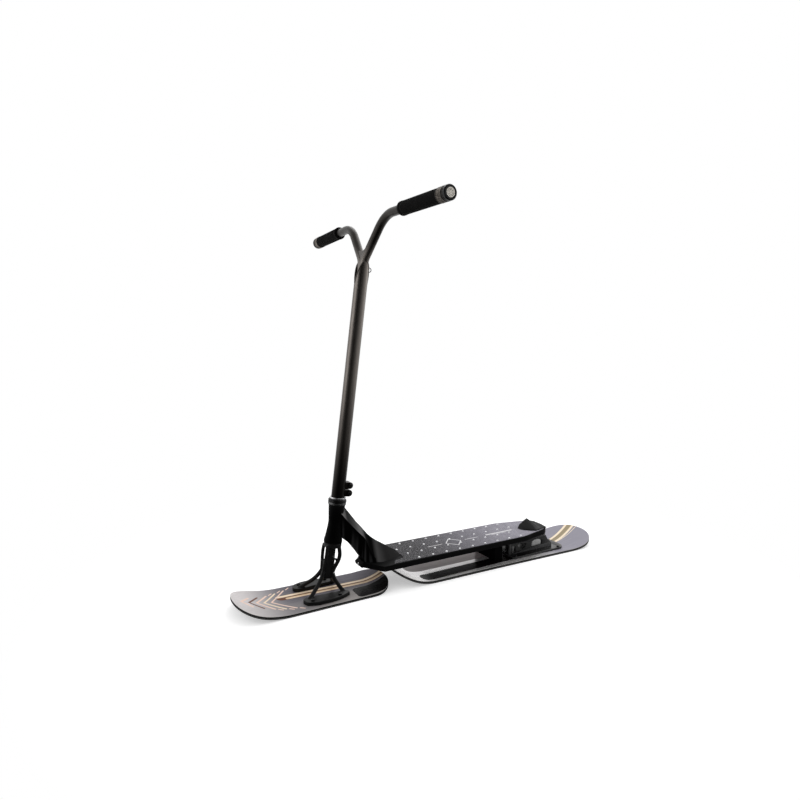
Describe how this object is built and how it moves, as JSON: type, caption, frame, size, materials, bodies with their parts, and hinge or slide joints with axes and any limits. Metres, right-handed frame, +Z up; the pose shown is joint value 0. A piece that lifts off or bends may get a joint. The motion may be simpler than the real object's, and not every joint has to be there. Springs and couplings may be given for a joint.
{
  "type": "snow scooter",
  "caption": "Snow scooter with a Y-shaped handlebar on a four-legged fork, a short front board that steers and a studded deck on a longer rear board.",
  "frame": {"origin": "centre of the bounding box seen from above, on the snow under the boards", "axes": "+X along the boards towards the tail, +Y to the rider's right, +Z up; the rider faces -X"},
  "size_m": [1.1684, 0.7474, 0.9911],
  "materials": {
    "bar_metal": "satin gunmetal",
    "black_frame": "satin black anodised",
    "grip_rubber": "ribbed",
    "ring_bronze": "knurled, anodised",
    "bright_steel": "bright",
    "dark_steel": "dark",
    "top_sheet": "laminated core, printed gloss top sheet",
    "sliding_base": "sintered",
    "deck_grip": "speckled grit",
    "stop_plastic": "moulded"
  },
  "bodies": {
    "frame": {"head_tube": "black_frame", "headset_cup": "bright_steel", "upper_bearing_outer": "bright_steel", "lower_bearing_outer": "bright_steel", "neck": "black_frame", "nose_cap": "grip_rubber", "nose_cap_screw": "bright_steel", "deck": "black_frame", "stud_plate": "deck_grip", "foot_stop": "stop_plastic", "foot_stop_screw_front": "bright_steel", "foot_stop_screw_back": "bright_steel", "mount_base_plate": "black_frame", "base_bolt_front_left": "bright_steel", "base_bolt_front_right": "bright_steel", "base_bolt_back_left": "bright_steel", "base_bolt_back_right": "bright_steel", "mount_top_plate": "black_frame", "mount_cheek_left": "black_frame", "mount_cheek_right": "black_frame", "riser": "black_frame", "riser_bolt_left": "bright_steel", "riser_bolt_right": "bright_steel", "rear_board": "top_sheet", "rear_board_base": "sliding_base"},
    "steering": {"bar_end_cap_left": "ring_bronze", "bar_end_cap_right": "ring_bronze", "bar_end_ring_left": "ring_bronze", "bar_end_ring_right": "ring_bronze", "bar_shim": "bright_steel", "board_insert_front_left": "bright_steel", "board_insert_front_right": "bright_steel", "board_insert_rear_left": "bright_steel", "board_insert_rear_right": "bright_steel", "compression_bolt": "bright_steel", "compression_ring": "dark_steel", "compression_washer": "dark_steel", "crown_race": "bright_steel", "foot_bolt_front_left": "bright_steel", "foot_bolt_front_right": "bright_steel", "foot_bolt_rear_left": "bright_steel", "foot_bolt_rear_right": "bright_steel", "fork": "black_frame", "front_board": "top_sheet", "front_board_base": "sliding_base", "grip_left": "grip_rubber", "grip_right": "grip_rubber", "handlebar": "bar_metal", "headset_cap": "dark_steel", "leash_eye": "dark_steel", "lower_bearing_inner": "bright_steel", "pinch_bolt_lower": "bright_steel", "pinch_bolt_upper": "bright_steel", "pinch_nut_lower": "bright_steel", "pinch_nut_upper": "bright_steel", "spacer_ring": "bright_steel", "star_nut": "bright_steel", "steerer_tube": "dark_steel", "upper_bearing_inner": "bright_steel"}
  },
  "joints": [
    {"name": "steering_turn", "type": "hinge", "parent": "frame", "child": "steering", "pos_m": [-0.31015, 0, 0.19044], "axis": [0.1271, 0, 0.9919], "continuous": true}
  ]
}
